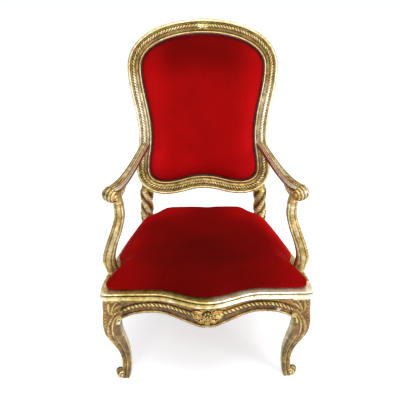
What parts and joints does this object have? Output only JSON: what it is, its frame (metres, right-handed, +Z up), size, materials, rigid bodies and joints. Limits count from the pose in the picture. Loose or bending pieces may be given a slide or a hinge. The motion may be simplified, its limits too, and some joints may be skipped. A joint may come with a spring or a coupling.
{
  "type": "throne",
  "caption": "Carved and gilded open-armed throne with a waisted high back, a serpentine front, cabriole front legs, scrolled arms and red velvet on seat and back.",
  "frame": {"origin": "on the floor, under the middle of the throne's bounding box", "axes": "+Z up, -Y out of the front of the seat, +X to the right as seen from the front, which is where the nodes named right are"},
  "size_m": [0.718, 0.7353, 1.1729],
  "materials": {
    "gilded_wood": "worn water gilding over bole, half matt",
    "red_velvet": "short-pile velvet"
  },
  "bodies": {
    "root": {"arm_left": "gilded_wood", "arm_right": "gilded_wood", "arm_support_left": "gilded_wood", "arm_support_right": "gilded_wood", "back_leg_left": "gilded_wood", "back_leg_right": "gilded_wood", "back_rail": "gilded_wood", "crest_rail": "gilded_wood", "front_leg_left": "gilded_wood", "front_leg_right": "gilded_wood", "front_rail": "gilded_wood", "lower_back_rail": "gilded_wood", "side_rail_left": "gilded_wood", "side_rail_right": "gilded_wood", "seat_cushion": "red_velvet", "back_pad": "red_velvet", "back_lining": "red_velvet"}
  },
  "joints": []
}
